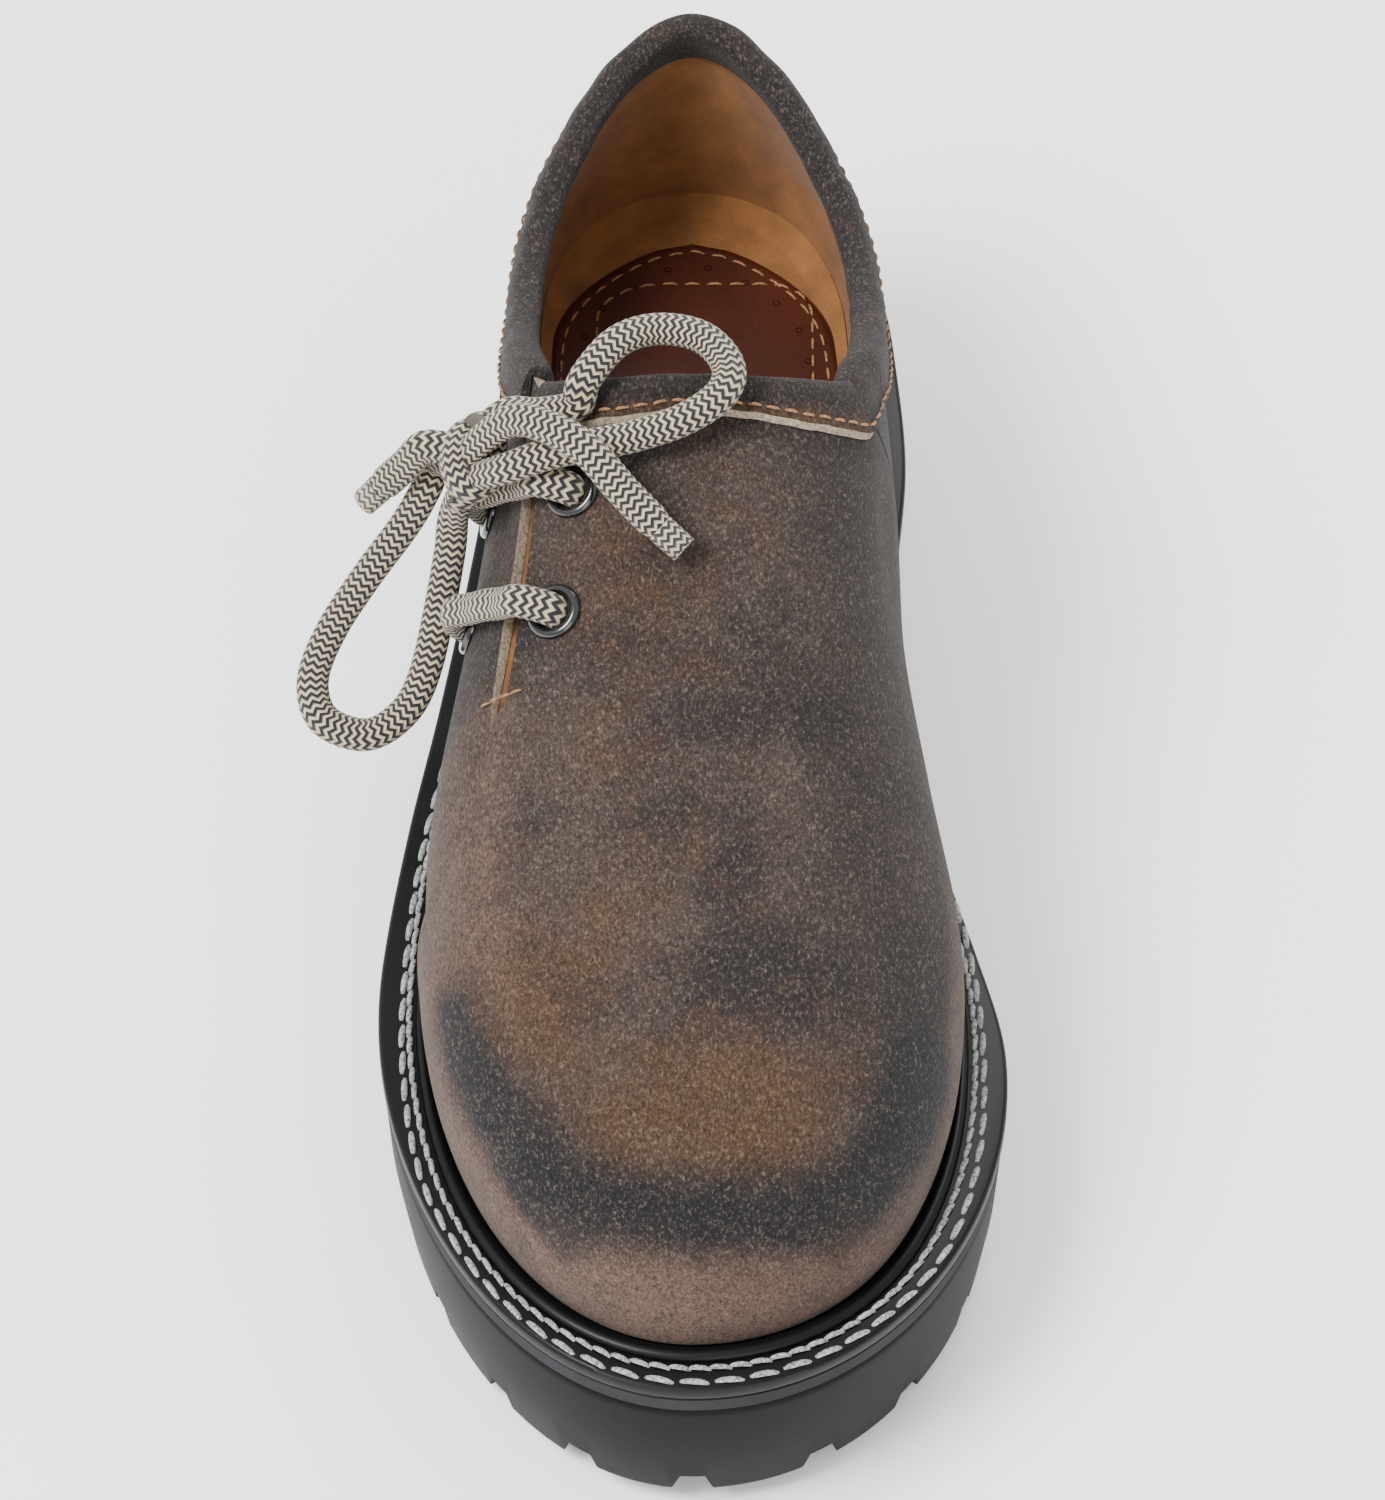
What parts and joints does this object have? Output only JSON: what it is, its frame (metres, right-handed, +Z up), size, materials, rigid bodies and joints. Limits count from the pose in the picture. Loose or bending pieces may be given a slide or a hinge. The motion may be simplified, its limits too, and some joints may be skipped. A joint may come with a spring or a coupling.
{
  "type": "haferl shoe",
  "caption": "Right low haferl shoe with side lacing over a slit, padded suede collar, stitched welt and lugged rubber sole.",
  "frame": {"origin": "on the ground, under the middle of the outsole's length and width", "axes": "+Z up, -Y towards the toe, +X towards the inner side of the foot"},
  "size_m": [0.134, 0.302, 0.1228],
  "materials": {
    "suede": "napped grey-brown suede",
    "suede_collar": "napped dark grey suede over padding",
    "nubuck_tan": "tan nubuck",
    "sock_leather": "smooth burnt orange leather",
    "rubber_navy": "matt navy black rubber",
    "rubber_grey": "matt dark grey rubber",
    "welt_black": "stitched black welt",
    "eyelet_black": "gloss black lacquer",
    "lace_braid": "black and cream braid"
  },
  "bodies": {
    "root": {"outsole": "rubber_navy", "midsole": "rubber_grey", "welt": "welt_black", "insole": "sock_leather", "upper": "suede", "collar": "suede_collar", "tongue": "nubuck_tan", "eyelet_vamp_top": "eyelet_black", "eyelet_vamp_low": "eyelet_black", "eyelet_quarter_top": "eyelet_black", "eyelet_quarter_low": "eyelet_black", "lace_bar_low": "lace_braid", "lace_bar_top": "lace_braid", "lace_knot": "lace_braid", "lace_loop_front": "lace_braid", "lace_loop_side": "lace_braid", "lace_end_front": "lace_braid", "lace_end_side": "lace_braid"}
  },
  "joints": []
}
